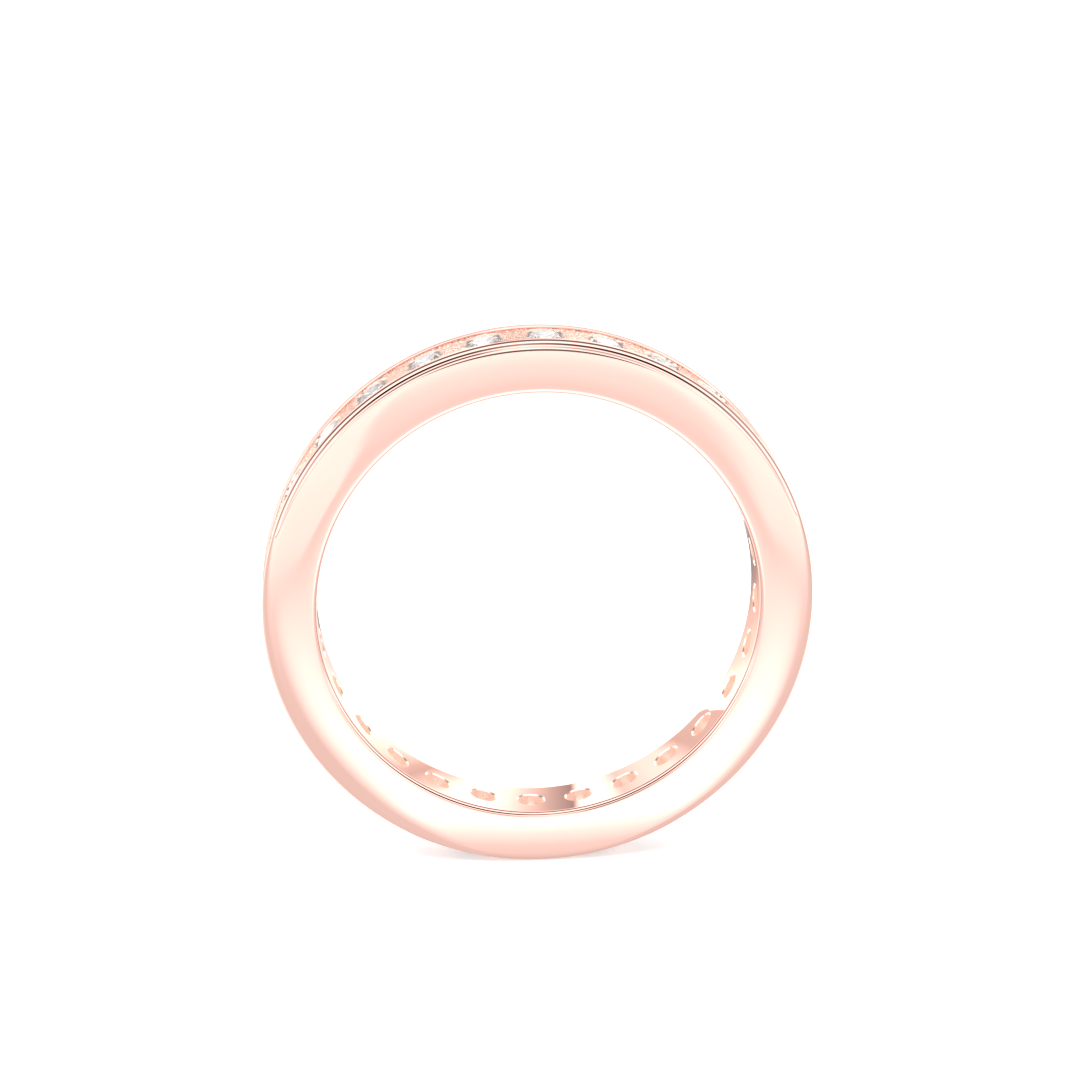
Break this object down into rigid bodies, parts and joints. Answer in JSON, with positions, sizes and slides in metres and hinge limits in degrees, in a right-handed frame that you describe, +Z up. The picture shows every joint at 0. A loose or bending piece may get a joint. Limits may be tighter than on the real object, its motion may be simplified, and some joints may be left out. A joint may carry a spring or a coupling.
{
  "type": "wedding band",
  "caption": "Full eternity wedding band: polished rails flank a sunken grained channel with flush-set round brilliants, each over an open azure hole.",
  "frame": {"origin": "centre of the finger hole, halfway across the band's width", "axes": "+Y along the finger hole's axis, +Z up with the band standing on its edge, +X to the right when seen from -Y"},
  "size_m": [0.0216, 0.0028, 0.0216],
  "materials": {
    "rose_gold": "mirror polish, with a fine grained matte floor in the channel",
    "diamond": "polished facets, colourless"
  },
  "bodies": {
    "root": {"band": "rose_gold", "stone_01": "diamond", "stone_02": "diamond", "stone_03": "diamond", "stone_04": "diamond", "stone_05": "diamond", "stone_06": "diamond", "stone_07": "diamond", "stone_08": "diamond", "stone_09": "diamond", "stone_10": "diamond", "stone_11": "diamond", "stone_12": "diamond", "stone_13": "diamond", "stone_14": "diamond", "stone_15": "diamond", "stone_16": "diamond", "stone_17": "diamond", "stone_18": "diamond", "stone_19": "diamond", "stone_20": "diamond", "stone_21": "diamond", "stone_22": "diamond", "stone_23": "diamond", "stone_24": "diamond", "stone_25": "diamond", "stone_26": "diamond", "stone_27": "diamond", "stone_28": "diamond"}
  },
  "joints": []
}
